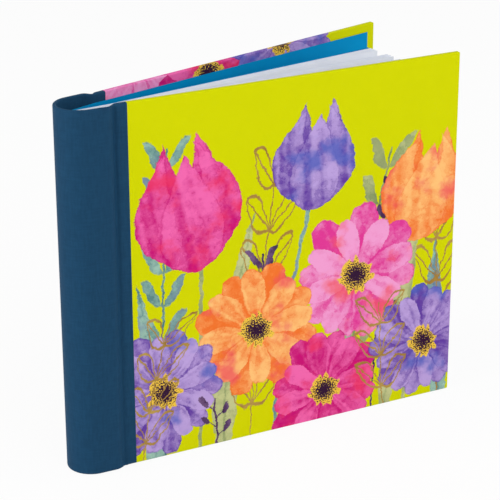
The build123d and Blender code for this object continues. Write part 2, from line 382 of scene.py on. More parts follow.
seamAt = cloth["arcSteps"] + cloth["seam"]
halves = {side: [clothLine(side, *face) for face in clothFaces] for side in book["cover"]}
spineLines = [front[seamAt::-1] + back[1:seamAt + 1] for front, back in zip(halves[-1], halves[1])]
spineWrap = clothPiece("spine_wrap", *spineLines, 0.0)
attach(spineWrap, "spine")
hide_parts("spine_cloth")
for side, word in book["cover"].items():
    hingeLines = [line[seamAt:] for line in halves[side]]
    hingeCloth = clothPiece(f"{word}_hinge_cloth", *hingeLines, cloth["hingeRun"])
    along, out = cloth["bendFrom"]
    rowPoint(along, side * (book["hingeHalf"] + out))
    rowPoint(*coverPoint(side, *cloth["bendTo"]))
    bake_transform(hingeCloth)
    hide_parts(f"{word}_joint_cloth")
print("cloth: spine and two hinges")

coverPaper = {
    "board": 2.22,  # depth of the board that shows between the turned-in edges
    "edgeRound": 0.4,
    "corner": 0.55,
    "slit": 1.4,  # where the turned-in edges meet at a corner
    "steps": 12,
    "bends": 6,
}


def coverOutline():  # round the free edges of a cover: place along it, height, and the way out
    start, end, height = book["clothEdge"], book["coverReach"], book["height"]
    corner, steps, bends = (coverPaper[name] for name in ("corner", "steps", "bends"))
    wide, tall = end - corner - start, height - 2 * corner

    def turned(z, first):
        turns = [first - pi / 2 * k / bends for k in range(1, bends)]
        return [(end - corner + corner * cos(t), z + corner * sin(t), cos(t), sin(t)) for t in turns]

    head = [(start + wide * k / steps, height, 0.0, 1.0) for k in range(steps + 1)]
    fore = [(end, height - corner - tall * k / steps, 1.0, 0.0) for k in range(steps + 1)]
    tail = [(end - corner - wide * k / steps, 0.0, 0.0, -1.0) for k in range(steps + 1)]
    return head + turned(height - corner, pi / 2) + fore + turned(corner, 0.0) + tail


def coverEdge():  # over the edge of a cover: inset, depth, and run of the paper out from the edge
    top, under = book["paperDepth"]
    corner, edge, bends = (coverPaper[name] for name in ("corner", "edgeRound", "bends"))
    turns = [pi / 2 * k / bends for k in range(bends + 1)]
    line = [(corner, top, -corner), (edge, top, -edge)]
    line += [(edge - edge * sin(t), top + edge - edge * cos(t), -edge + edge * t) for t in turns[1:]]
    run = -edge + edge * pi / 2 + under - top - 2 * edge
    line += [(edge - edge * cos(t), under - edge + edge * sin(t), run + edge * t) for t in turns]
    run += edge * pi / 2 - edge
    line.append((corner, under, run + corner))
    return line, run


def coverPaperPiece(name, side, material):
    start, end, height, turnIn = (book[key] for key in ("clothEdge", "coverReach", "height", "turnIn"))
    corner, slit, steps, bends = (coverPaper[key] for key in ("corner", "slit", "steps", "bends"))
    under = book["paperDepth"][1]
    path, (profile, run) = coverOutline(), coverEdge()
    points, coords, wide = [], [], len(profile)

    def point(u, z, depth, coord):
        points.append((*coverPoint(side, u, depth), z))
        coords.append(coord)
        return len(points) - 1

    for u, z, outU, outZ in path:
        for inset, depth, unrolled in profile:
            point(u - outU * inset, z - outZ * inset, depth, (u + outU * unrolled, z + outZ * unrolled))
    faces = strip(len(path), wide, False)
    starts = [k * (steps + bends) for k in range(3)]  # of the head, fore and tail edge
    edges = [range(k, k + steps + 1) for k in starts]
    faces.append(tuple(i * wide for edge in edges for i in edge))

    # the three turned-in edges, with a slit at each corner, and the board's window between them
    inner, high, beyond = end - turnIn, height - turnIn, run + turnIn
    upper = [  # place, and where it comes on the flat paper
        ((start, high), (start, height + beyond)),
        ((inner - slit, high), (inner - slit, height + beyond)),
        ((inner, high - slit), (end + beyond, high - slit)),
    ]
    window = upper + [[(u, height - z) for u, z in pair] for pair in reversed(upper)]
    rim = [point(*place, under, coord) for place, coord in window]
    base = [point(*place, coverPaper["board"], coord) for place, coord in window]
    for k, edge in enumerate(edges):
        a, b = 2 * k, 2 * k + 1
        faces.append(tuple(i * wide + wide - 1 for i in edge) + (rim[b], rim[a]))
        faces.append((rim[a], rim[b], base[b], base[a]))
    headDeep = point(end - corner, height - corner, under, (end - corner, height))
    tailDeep = point(end - corner, corner, under, (end - corner, 0))
    for deep, a, b in ((headDeep, 1, 2), (tailDeep, 3, 4)):
        faces += [(deep, rim[a], base[a]), (deep, base[a], base[b]), (deep, base[b], rim[b])]
    faces.append(tuple(base))
    last = (len(path) - 1) * wide
    tailProfile = tuple(last + j for j in reversed(range(wide)))
    faces.append(tuple(range(wide)) + (rim[0], base[0], base[5], rim[5]) + tailProfile)
    return makePiece(name, points, faces, coords, material)


inks = {  # thin wash, strong wash, and the second pigment that runs into it
    "pink": (tone(240, 158, 208), tone(222, 58, 148), tone(240, 92, 96)),
    "rose": (tone(240, 104, 174), tone(198, 20, 116), tone(232, 48, 92)),
    "plum": (tone(186, 160, 218), tone(98, 62, 158), tone(70, 92, 184)),
    "amber": (tone(252, 194, 120), tone(240, 116, 46), tone(236, 74, 92)),
    "sage": (tone(196, 200, 142), tone(112, 134, 84), tone(150, 160, 110)),
    "teal": (tone(160, 196, 178), tone(70, 118, 122), tone(108, 124, 158)),
    "dusk": (tone(128, 98, 142), tone(58, 32, 70), tone(40, 40, 66)),
    "gilt": (tone(190, 158, 84), tone(150, 112, 50), tone(170, 132, 60)),
}
ground = {
    "yellow": tone(211, 214, 2),
    "deep": tone(204, 209, 2),
    "heart": tone(52, 26, 54),
    "seed": tone(238, 196, 70),
}
paint = {  # each noise: marks over one unit of the UV map, detail and roughness
    "drift": (26, 3, 0.6),
    "ragged": (240, 2, 0.6),
    "cloud": (15, 5, 0.6),
    "pool": (60, 3, 0.6),
    "bleed": (9, 4, 0.55),
    "grain": (520, 2, 0.6),
    "seeds": (310, 1, 0.5),
    "driftReach": 4.4,  # millimetres by which edges wander
    "raggedReach": 1.2,
    "tides": 9,  # lines that a wash leaves where it dries
    "soil": -14,  # stems start below the tail edge, on the turned-in paper
}
socketKinds = {"VALUE": "NodeSocketFloat", "RGBA": "NodeSocketColor"}


def grouped(wire, given, draw, *details):  # nodes as a group: draw's results, or else what lies on top
    tree = bpy.data.node_groups.new(draw.__name__, "ShaderNodeTree")
    for key, value in given.items():
        kind = value.socket.type if isinstance(value, Wire) else "VALUE"
        tree.interface.new_socket(key, in_out="INPUT", socket_type=socketKinds[kind])
    inputs = tree.nodes.new("NodeGroupInput").outputs
    on = SimpleNamespace(start=Wire(tree), **{key: Wire(tree, inputs[key]) for key in given})
    made = draw(on, *details) or {"under": on.under, "foil": on.foil}
    for key, value in made.items():
        tree.interface.new_socket(key, in_out="OUTPUT", socket_type=socketKinds[value.socket.type])
    results = tree.nodes.new("NodeGroupOutput").inputs
    for key, value in made.items():
        tree.links.new(value.socket, results[key])
    return wire.node("ShaderNodeGroup", {"node_tree": tree}, given)


def printFields(on):  # places in millimetres, roughened as wet paint is, and the clouds in the paint
    coord = sheetCoord(on.start)
    split = splitCoord(coord)
    drift, ragged = (coord.node("ShaderNodeSeparateColor", None, {0: coord.noise(*paint[name], out=1)})
                     for name in ("drift", "ragged"))

    def place(k):
        wander = split.beside(k) * printScale + (drift.beside(k) - 0.5) * paint["driftReach"]
        return wander + (ragged.beside(k) - 0.5) * paint["raggedReach"]

    cloud, pool, bleed, grain, seeds = (coord.noise(*paint[name])
                                        for name in ("cloud", "pool", "bleed", "grain", "seeds"))
    shore = cloud * paint["tides"]
    tide = abs(shore - shore.whole() - 0.5).step(0.11, 0.03)
    return {"x": place(0), "y": place(1), "grain": grain, "seeds": seeds,
            "flow": (cloud - 0.5) * 2.6 + (pool - 0.5) * 0.7 + tide * 0.25,
            "bleed": bleed.step(0.5, 0.66) * 0.8}


def pigment(on, depth, ink):
    thin, strong, second = inks[ink]
    wash = (depth + on.grain * 0.5).step(-0.1, 1.6).blend(thin, strong)
    return on.bleed.blend(wash, second)


def lay(on, share, colour, foil=False):  # paint or foil over what is there
    on.under = share.blend(on.under, colour)
    on.foil = share.most(on.foil) if foil else on.foil * (1 - share)


daisyRings = (1.0, 0.5, 0.5), (0.93, 0.0, -0.1)  # size, shift by a share of a petal, depth of colour


def daisy(on, at, radius, petals, turn, ink, seed):
    dx, dy = on.x - at[0], on.y - at[1]
    reach = (dx * dx + dy * dy) ** 0.5 / radius
    angle = dx.sum("ARCTAN2", dy, dx) * (petals / (2 * pi)) + turn
    for size, shift, shade in daisyRings:
        spread = angle + shift
        petal = spread.whole()
        off = abs(spread - petal - 0.5) * 2  # 0 down the middle of a petal, 1 between two
        lot = (petal.sum("FLOORED_MODULO", petal, petals) + (seed + shift * 37)).chance()
        gap = lot * 0.16 + (0.86 * size) - off ** 2.4 * 0.5 - reach
        veins = (spread * 9 + reach * 1.5 + lot * 40).streaks()
        rim = gap.step(0.04, 0.01) * 0.7 + off.step(0.82, 1.0) * 0.4
        depth = on.flow + rim + (veins - 0.5) + lot * 0.8 - reach * 1.1 + (shade + 0.5)
        lay(on, gap.step(0.0, 0.02), pigment(on, depth, ink))
    heart = (on.seeds * 1.3 + reach * 2.2).step(0.95, 1.1).blend(ground["heart"], ground["seed"])
    fringe = (angle * 4).streaks() * 0.2 + 0.15
    lay(on, (fringe - reach).step(0.0, 0.025), heart)


tulipPetals = (  # bow to the side, splay at the tip, half width, height, depth of colour
    (0.08, 0.13, 0.2, 1.0, 0.5), (-0.08, -0.12, 0.2, 0.97, 0.4), (0.19, 0.09, 0.19, 0.94, 0.2),
    (-0.19, -0.1, 0.19, 0.92, 0.15), (0.0, 0.02, 0.25, 0.86, -0.1),
)


def tulip(on, at, tall, lean, ink):
    c, s = cos(radians(lean)) / tall, sin(radians(lean)) / tall
    dx, dy = on.x - at[0], on.y - at[1]
    across, up = dx * c - dy * s, dx * s + dy * c
    veins = (across * 26 + up * 3).streaks()
    for bow, splay, wide, high, shade in tulipPetals:
        rise = (up / high).clamp()
        off = abs(across - rise * splay - (rise * pi).sine() * bow)
        gap = (rise ** 0.6 * pi).sine() * wide - off
        depth = on.flow + gap.step(0.02, 0.004) * 0.8 + (veins - 0.5) * 1.1 - rise * 0.8 + (shade + 0.75)
        lay(on, gap.step(0.002, 0.012), pigment(on, depth, ink))


def alongStem(on, x, tall, lean, bend, foot=paint["soil"]):  # height up a bent stem, and place beside it
    rise = (on.y - foot) / tall
    return rise, on.x - x - rise * lean - rise * rise * bend


def stemShare(off, rise, pairs, wide, core):  # a stem that stops short of its tip
    return off.step(wide, core) * rise.between(0.0, 1 - 0.9 / pairs)


def blade(on, stem, wide, ink):
    rise, beside = alongStem(on, *stem)
    gap = (rise.clamp() ** 0.8 * pi).sine() * wide - abs(beside)
    depth = on.flow + abs(beside).step(0.2, 0.8) * -0.5 + gap.step(0.9, 0.2) * 0.3 + 0.5
    lay(on, gap.step(0.0, 0.4), pigment(on, depth, ink))


def stalk(on, stem, ink):
    rise, beside = alongStem(on, *stem)
    lay(on, abs(beside).step(1.1, 0.7) * rise.step(1.02, 0.98), pigment(on, on.flow + 0.5, ink))


def sprig(on, stem, pairs, reach, ink):
    bare, fat = 0.14, 0.32  # share of the stem with no leaflets, and half a leaflet's share of its row
    rise, beside = alongStem(on, *stem)
    off = abs(beside)
    out = (off / reach).clamp()
    place = rise * pairs - out * 0.9
    row = place.whole()
    gap = (out * pi).sine() * fat - abs(place - row - 0.5)
    leaflet = gap.step(0.0, 0.06) * row.between(bare * pairs - 0.5, pairs - 1.5)
    depth = on.flow + gap.step(0.1, 0.03) * 0.3 - out * 0.3 + 0.6
    lay(on, leaflet.most(stemShare(off, rise, pairs, 0.6, 0.35)), pigment(on, depth, ink))


def berries(on, stem, pairs, reach, size, ink):
    bare, tall = 0.4, stem[1]  # share of the stem with no berries, and its height
    rise, beside = alongStem(on, *stem)
    off = abs(beside)
    place = rise * pairs + beside.step(-0.1, 0.1) * 0.5 - off * (0.5 / reach)
    row = place.whole()
    up, out = (place - row - 0.5) * (tall / pairs), off - reach
    fruit = ((up * up + out * out) ** 0.5).step(size, size - 0.4)
    twig = abs(up).step(0.5, 0.25) * off.step(reach, reach - 0.5)
    hung = fruit.most(twig) * row.between(bare * pairs - 0.5, pairs - 1.5)
    lay(on, hung.most(stemShare(off, rise, pairs, 0.6, 0.35)), pigment(on, on.flow + 0.6, ink))


def outlineSprig(on, stem, pairs, reach, ink):
    fat = 0.36  # half a leaflet's share of its row
    rise, beside = alongStem(on, *stem)
    off = abs(beside)
    out = (off / reach).clamp()
    place = rise * pairs - out * 0.8
    row = place.whole()
    cell = abs(place - row - 0.5)
    gap = abs((out * pi).sine() * fat - cell)
    line = gap.step(0.055, 0.025).most(cell.step(0.04, 0.02))
    leaflet = line * off.step(reach, reach - 0.3) * row.between(0.5, pairs - 1.5)
    drawn = leaflet.most(stemShare(off, rise, pairs, 0.4, 0.2))
    lay(on, drawn, pigment(on, on.flow + 0.5, ink), foil=True)


def coverPrint(name, motifs):  # each motif lies over the ones before it
    material, wire, shader = newMaterial(name, Specular_IOR_Level=0.02)
    start = grouped(wire, {}, printFields)
    fields = {key: start.beside(key) for key in ("x", "y", "flow", "bleed", "grain", "seeds")}
    grain, flow = fields["grain"], fields["flow"]
    colour = (flow * 0.3 + grain * 0.2 + 0.4).clamp().blend(ground["deep"], ground["yellow"])
    layer = {"under": colour, "foil": 0.0}
    for draw, *details in motifs:
        made = grouped(wire, {**fields, **layer}, draw, *details)
        layer = {key: made.beside(key) for key in layer}
    foil = layer["foil"]
    specks = grain.step(0.62, 0.9) * (1 - foil) * 0.16
    feed(wire, shader,
         Base_Color=specks.blend(layer["under"], white),
         Metallic=foil * 0.85,
         Roughness=(grain * 0.14 + flow * 0.03 + 0.46) * (1 - foil * 0.35),
         Normal=bump(grain, 0.00003, 0.4))
    return material


frontPrint = coverPrint("frontPrint", [  # stems: place along the cover, height, lean and bend
    (blade, (14, 96, 10, -16), 6.5, "teal"), (blade, (48, 120, -4, 20), 7.0, "sage"),
    (blade, (97, 88, 8, 14), 6.5, "teal"), (blade, (128, 132, 10, 12), 6.0, "sage"),
    (blade, (160, 92, -14, 8), 6.0, "teal"),
    (outlineSprig, (60, 158, 6, 12), 8, 13, "gilt"), (outlineSprig, (158, 140, -8, 4), 7, 12, "gilt"),
    (sprig, (106, 152, 16, 12), 9, 12, "sage"), (sprig, (20, 166, -4, 8), 11, 11, "teal"),
    (berries, (122, 134, 0, 16), 10, 7, 2.6, "dusk"),
    (stalk, (36, 100, 2, 0), "sage"), (stalk, (72, 118, 4, 14), "teal"), (stalk, (140, 92, -4, 8), "sage"),
    (tulip, (36, 82), 62, -7, "rose"), (tulip, (90, 100), 50, 5, "plum"), (tulip, (143, 76), 54, 9, "amber"),
    (sprig, (76, 74, -16, 6, 20), 7, 8, "dusk"),
    (daisy, (113, 66), 33, 8, 0.2, "pink", 3.0), (daisy, (64, 50), 31, 8, 0.4, "amber", 11.0),
    (daisy, (20, 30), 31, 9, 0.1, "plum", 23.0), (daisy, (98, 14), 30, 8, 0.3, "rose", 41.0),
    (daisy, (149, 27), 29, 9, 0.6, "plum", 57.0), (berries, (44, 44, 4, -6), 5, 5, 2.2, "dusk"),
    (outlineSprig, (130, 78, -10, 6), 5, 13, "gilt"), (outlineSprig, (8, 88, 6, 14), 6, 12, "gilt"),
])
backPrint = coverPrint("backPrint", [
    (blade, (22, 104, 10, -14), 6.5, "sage"), (blade, (64, 96, -4, 14), 7.0, "teal"),
    (blade, (108, 104, 6, 10), 6.5, "sage"), (blade, (146, 92, -10, 8), 6.0, "teal"),
    (outlineSprig, (40, 140, -8, 6), 8, 13, "gilt"), (outlineSprig, (138, 150, 6, 4), 8, 12, "gilt"),
    (sprig, (84, 150, 10, 6), 10, 12, "teal"), (sprig, (124, 150, 4, 6), 11, 11, "sage"),
    (berries, (60, 130, 8, 6), 10, 7, 2.6, "dusk"),
    (stalk, (44, 96, -4, 8), "teal"), (stalk, (120, 100, 4, -6), "sage"),
    (tulip, (48, 72), 54, 4, "amber"), (tulip, (120, 76), 56, -6, "rose"),
    (daisy, (24, 152), 32, 9, 0.3, "pink", 5.0), (daisy, (62, 166), 30, 8, 0.1, "rose", 15.0),
    (daisy, (106, 158), 33, 9, 0.5, "plum", 29.0), (daisy, (84, 44), 32, 8, 0.2, "plum", 33.0),
    (daisy, (28, 26), 30, 8, 0.6, "rose", 47.0), (daisy, (138, 34), 31, 9, 0.4, "pink", 61.0),
])
for side, word, material in ((-1, "front", frontPrint), (1, "back", backPrint)):
    wrap = coverPaperPiece(f"{word}_cover_wrap", side, material)
    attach(wrap, f"{word}_cover")
    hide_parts(f"{word}_cover_paper")
print("covers: paper printed and turned in")

endpaper = {
    "blue": tone(2, 144, 200),
    "blueDeep": tone(1, 136, 190),
    "thick": 0.15,
    "depth": 2.725,  # middle of the pasted half, in from the face of the cloth
    "end": 158.85,
    "places": (0.5, 1.2, 2.0, 4.0, 8.0, 16.0, 40.0, 70.0, 100.0, 130.0),  # along the cover
    "lastPlace": 154.0,
    "levels": (50.0, 80.0, 110.0),
    "foldGap": 0.05,  # bound edge to the fold
    "foldBow": 0.17,  # the fold rounds back this far
    "legStep": 0.2,  # loose half to the leg that runs from the fold to the hinge line
    "legSteps": 10,
    "legEnd": -0.45,
    "bendFrom": (-2.6, 7.0),  # the leg turns from here, along and out from the spine line,
    "bendTo": 2.6,  # to here along the cover
    "sink": 0.12,  # pasted half drops off the turned-in edges
    "sinkFrom": 0.6,  # millimetres inside the turned-in edge
    "flyleafY": {-1: -6.725, 1: 3.125},
    "flyLean": {-1: -3.3, 1: 4.8},
    "flyBend": 4.0,
    "flyRoot": (-8.0, -4.0, 0.0, 1.0, 2.0, 3.0),  # places along the loose half before its bend
    "flyPlaces": (1.0, 2.0, 3.0, 4.0, 8.0, 30.0, 60.0, 90.0, 120.0),  # and from the bend on
    "flyLevel": 80.0,
}


def paperMaterial(name, pale, deep, rough, ruled=None):
    material, wire, shader = newMaterial(name, Specular_IOR_Level=0.03)
    coord = sheetCoord(wire)
    cloud = coord.noise(14, 4, 0.6)
    fibre = coord.noise(700, 3, 0.7)
    colour = (cloud * 0.6 + fibre * 0.4).step(0.25, 0.75).blend(deep, pale)
    if ruled:
        split = splitCoord(coord)
        across, up = split * printScale, split.beside(1) * printScale
        row = split.beside(1) * (printScale / ruled["pitch"])
        line = abs(row - row.whole() - 0.5).step(ruled["wide"] * 1.5, ruled["wide"] * 0.5)
        for place, (low, high) in ((across, ruled["across"]), (up, ruled["up"])):
            line = line * place.step(low, low + 0.1) * place.step(high, high - 0.1)
        colour = (line * ruled["strength"]).blend(colour, ruled["ink"])
    feed(wire, shader,
         Base_Color=colour,
         Roughness=fibre * 0.16 + (rough - 0.08),
         Normal=bump(fibre, 0.00002, 0.35))
    return material


bluePaper = paperMaterial("bluePaper", endpaper["blue"], endpaper["blueDeep"], 0.66)


def sheetPiece(name, line, levels, thick, material, sink=None, local=False):  # thin sheet along a plan line
    rings, coords = [], []
    for k, (place, run) in enumerate(zip(line, lengths(line))):
        ahead = (line[min(k + 1, len(line) - 1)] - line[max(k - 1, 0)]).normalized()
        out = Vector((-ahead.y, ahead.x))
        ring = []
        for half, rows in ((thick / 2, levels), (-thick / 2, levels[::-1])):
            for z in rows:
                shift = half + (sink(k, z) if sink else 0)
                ring.append((*(place + out * shift), z))
                coords.append((run, z))
        rings.append(ring)
    points, faces = loft(rings)
    return makePiece(name, points, faces, coords, material, local=local)


def bendPiece(piece, x, y, lean):  # the sheet's place is baked into its mesh; the ends of its upright bend line are worked out, but nothing keeps them
    half = book["bendHalf"]
    rowPoint(x - half, y)
    rowPoint(x + half * cos(lean), y + half * sin(lean))
    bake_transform(piece)


leafTop = book["leafFoot"] + book["leafHeight"]
foldX = -book["boundDepth"] + endpaper["foldGap"]
window = book["coverReach"] - book["turnIn"]  # the board shows between the turned-in edges up to here
sinkFoot = book["turnIn"] + endpaper["sinkFrom"]
sinkHead = book["height"] - sinkFoot


def foldLine(side):  # round the fold, then along its leg to the hinge line
    rootY = endpaper["flyleafY"][side]
    legY = rootY + side * endpaper["legStep"]
    coverY = side * (book["hingeHalf"] - endpaper["depth"])
    steps, legLong = endpaper["legSteps"], endpaper["legEnd"] - foldX
    fold = [(foldX, rootY), (foldX - endpaper["foldBow"], (rootY + legY) / 2), (foldX, legY)]
    leg = [(foldX + legLong * k / steps, legY + (coverY - legY) * k / (steps + 0.5))
           for k in range(1, steps + 1)]
    return [Vector(place) for place in fold + leg]


for side, word in book["cover"].items():
    folded = foldLine(side)
    edge = [window - 0.8, window + 0.2, window + 1.2, endpaper["lastPlace"], endpaper["end"]]
    over = [coverPoint(side, along, endpaper["depth"]) for along in (*endpaper["places"], *edge)]
    line = folded + over
    firstSunk, lastSunk = len(folded) + 2, len(line) - len(edge)

    def sink(k, z):  # between the turned-in edges
        inside = sinkFoot < z < sinkHead and firstSunk <= k <= lastSunk
        return side * endpaper["sink"] if inside else 0.0

    levels = [book["leafFoot"], sinkFoot - 1.0, sinkFoot + 0.2, *endpaper["levels"],
              sinkHead - 0.2, sinkHead + 1.0, leafTop]
    pasted = sheetPiece(f"{word}_endpaper", line, levels, endpaper["thick"], bluePaper, sink)
    along, out = endpaper["bendFrom"]
    rowPoint(along, side * out)
    rowPoint(*coverPoint(side, endpaper["bendTo"], endpaper["depth"]))
    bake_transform(pasted)
    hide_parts(f"{word}_pastedown", f"{word}_endpaper_fold")

    rootY, bendX, lean = endpaper["flyleafY"][side], endpaper["flyBend"], radians(endpaper["flyLean"][side])
    root = [Vector((x, rootY)) for x in (foldX + endpaper["foldGap"], *endpaper["flyRoot"])]
    loose = [Vector((bendX + s * cos(lean), rootY + s * sin(lean)))
             for s in (*endpaper["flyPlaces"], book["leafFore"] - bendX)]
    levels = [book["leafFoot"], endpaper["flyLevel"], leafTop]
    flyleaf = sheetPiece(f"{word}_flyleaf_sheet", root + loose, levels, endpaper["thick"], bluePaper)
    bendPiece(flyleaf, bendX, rootY, lean)
    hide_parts(f"{word}_flyleaf")
print("endpapers: pasted and loose halves")

leaves = {
    "perSection": 4,
    "thick": 0.088,
    "pitch": 0.1,
    "fan": 0.015,  # degrees from leaf to leaf
    "jitter": 0.1,  # millimetres up or down
    "short": 0.1,  # the leaves stop this far inside the dividers at head and tail
    "seed": 7,
    "levels": (60.0, 110.0),
    "overrun": 0.3,  # past the bound edge
    "boundPlaces": (-8.0, -3.0),  # places along the sheets inside the spine,
    "backPlaces": (6.0, 4.0, 3.0, 2.0, 1.0),  # back from the bend line,
    "forePlaces": (1.0, 2.0, 3.0, 4.0, 6.0, 12.0, 40.0, 70.0, 100.0, 125.0),  # and on from it
    "white": tone(228, 233, 247),
    "shade": tone(217, 223, 240),
    "rules": {"pitch": 8.0, "wide": 0.022, "across": (24.0, 147.0), "up": (18.0, 140.0),  # wide is over pitch
              "strength": 0.75, "ink": tone(140, 170, 204)},
}
sections = {
    "count": 12,
    "fixed": 5,  # bound to the spine whole
    "firstY": -6.08,
    "pitch": 0.8,
    "bend": 4.0,  # bend lines step out from here up to the fixed section, and back in after it
    "bunches": ((1, -2.8, 0.3), (5, 0.0, 0.5), (8, 3.9, 0.1)),  # first section, its lean, step to the next
}
dividers = {
    "thick": 0.24,
    "offset": 0.35,  # middle of the card in front of the middle of the leaves
    "tabReach": 13.5,
    "tabGap": 0.8,
    "tabCorner": 2.5,
    "tabMargin": 1.5,  # head and tail of the leaves to the first and last tab
    "tabRun": 160.0,  # where the tab comes on the flat card
    "letters": ("AB", "CD", "EF", "GH", "IJ", "KL", "MN", "OP", "QR", "ST", "UV", "WZ"),
    "letterSize": 7.0,
    "letterAt": 0.52,  # share of the tab's reach
    "letterLift": 0.03,
    "card": tone(238, 241, 246),
    "cardShade": tone(228, 232, 240),
    "ink": (tone(24, 62, 98), tone(38, 84, 124)),
}
leafPaper = paperMaterial("leafPaper", leaves["white"], leaves["shade"], 0.8, leaves["rules"])
dividerCard = paperMaterial("dividerCard", dividers["card"], dividers["cardShade"], 0.6)


def objectCoord(wire):
    return wire.node("ShaderNodeTexCoord", out="Object")


def indexInkMaterial():
    material, wire, shader = newMaterial("indexInk", Roughness=0.55, Specular_IOR_Level=0.1)
    speck = objectCoord(wire).noise(4000, 2)
    feed(wire, shader, Base_Color=speck.step(0.3, 0.7).blend(*dividers["ink"]))
    return material


indexInk = indexInkMaterial()


def indexLetters(name, word, middle, ahead, facing):  # flat letters on the front of a tab
    text = bpy.data.curves.new(name, "FONT")
    text.body, text.size = word, dividers["letterSize"] * mm
    text.align_x, text.align_y = "CENTER", "CENTER"
    holder = bpy.data.objects.new(name, text)
    scene.collection.objects.link(holder)
    graph = bpy.context.evaluated_depsgraph_get()
    mesh = bpy.data.meshes.new_from_object(holder.evaluated_get(graph))
    bpy.data.objects.remove(holder)
    bpy.data.curves.remove(text)
    axes = Matrix((ahead, (0, 0, 1), facing)).transposed().to_4x4()
    mesh.transform(Matrix.Translation(middle) @ axes)
    mesh.name = name
    return added(name, mesh, indexInk)


def leafStackTree():  # a stack of sheets, fanned from its bend and set at its lean
    tree = bpy.data.node_groups.new("leafStack", "GeometryNodeTree")
    kinds = {"Sheet": "Geometry", "Count": "Int", "Pitch": "Float", "Fan": "Float", "Jitter": "Float",
             "Seed": "Int", "Bend": "Vector", "Lean": "Float", "Paper": "Material"}
    inputs = {name: tree.interface.new_socket(name, in_out="INPUT", socket_type="NodeSocket" + kind)
              for name, kind in kinds.items()}
    tree.interface.new_socket("Leaves", in_out="OUTPUT", socket_type="NodeSocketGeometry")

    node, source = Wire(tree).node, Wire(tree).node("NodeGroupInput")
    given = {name: source.beside(name) for name in kinds}
    fromMiddle = node("GeometryNodeInputIndex") - (given["Count"] * 0.5 - 0.5)
    chances = {2: -1.0, 3: 1.0, "Seed": given["Seed"]}
    rise = node("FunctionNodeRandomValue", {"data_type": "FLOAT"}, chances, out=1)
    shifts = {"Y": fromMiddle * given["Pitch"], "Z": rise * given["Jitter"]}
    place = node("ShaderNodeCombineXYZ", None, shifts)
    line = node("GeometryNodeMeshLine", {"mode": "OFFSET"}, {"Count": given["Count"]})
    row = node("GeometryNodeSetPosition", None, {"Geometry": line, "Position": place})
    spread = node("ShaderNodeCombineXYZ", None, {"Z": fromMiddle * given["Fan"]})
    stack = node("GeometryNodeInstanceOnPoints", None,
                 {"Points": row, "Instance": given["Sheet"], "Rotation": spread})
    turn = node("ShaderNodeCombineXYZ", None, {"Z": given["Lean"]})
    moved = node("GeometryNodeTransform", None,
                 {"Geometry": stack, "Translation": given["Bend"], "Rotation": turn})
    solid = node("GeometryNodeRealizeInstances", None, {"Geometry": moved})
    painted = node("GeometryNodeSetMaterial", None, {"Geometry": solid, "Material": given["Paper"]})
    tree.links.new(painted.socket, tree.nodes.new("NodeGroupOutput").inputs["Leaves"])
    return tree, {name: socket.identifier for name, socket in inputs.items()}


leafStack, stackInputs = leafStackTree()


def sectionPlace(number):  # bend line and lean of a section, counted from the front
    out = number if number <= sections["fixed"] else sections["count"] + 1 - number
    bendX = sections["bend"] + sections["pitch"] * out
    bendY = sections["firstY"] + sections["pitch"] * (number - 1)
    first, lean, step = [bunch for bunch in sections["bunches"] if bunch[0] <= number][-1]
    return bendX, bendY, radians(lean + step * (number - first))


def leafLine(bendX, lean):  # bound edge to fore-edge, with the bend at the origin and the leaf along X
    back = Vector((-cos(lean), sin(lean)))
    bound = [bendX + book["boundDepth"] + leaves["overrun"], *(bendX - x for x in leaves["boundPlaces"])]
    fore = [*leaves["forePlaces"], book["leafFore"] - bendX]
    return [back * s for s in (*bound, *leaves["backPlaces"])] + [Vector((s, 0)) for s in fore]


def leafStackPiece(number, line, bendX, bendY, lean):
    levels = [book["leafFoot"] + leaves["short"], *leaves["levels"], leafTop - leaves["short"]]
    stack = sheetPiece(f"leaf_stack_{number:02d}", line, levels, leaves["thick"], leafPaper, local=True)
    fill = stack.modifiers.new("stack", "NODES")
    fill.node_group = leafStack
    values = {"Count": leaves["perSection"], "Pitch": leaves["pitch"] * mm, "Fan": radians(leaves["fan"]),
              "Jitter": leaves["jitter"] * mm, "Seed": leaves["seed"] + number,
              "Bend": rowPoint(bendX, bendY), "Lean": lean, "Paper": leafPaper}
    for name, value in values.items():
        fill[stackInputs[name]] = value
    graph = bpy.context.evaluated_depsgraph_get()
    full = bpy.data.meshes.new_from_object(
        stack.evaluated_get(graph), preserve_all_data_layers=True, depsgraph=graph)
    stack.modifiers.clear()
    stack.data = full
    stack.data.name = stack.name
    return stack


def indexTab(number, edge, ahead, foot, top):  # a tab with rounded corners at the edge of its card
    reach, corner = dividers["tabReach"], dividers["tabCorner"]
    outline = [(0.0, foot)]
    outline += [(reach - corner + corner * sin(t), foot + corner - corner * cos(t)) for t in quarterTurn]
    outline += [(reach - corner + corner * cos(t), top - corner + corner * sin(t)) for t in quarterTurn]
    outline += [(0.0, top)]
    out = Vector((-ahead.y, ahead.x)) * dividers["thick"] / 2
    points, faces = loft([[(*(edge + ahead * s + out * way), z) for s, z in outline] for way in (-1, 1)])
    coords = [(dividers["tabRun"] + s, z) for s, z in outline] * 2
    return makePiece(f"index_tab_{number:02d}", points, faces, coords, dividerCard)


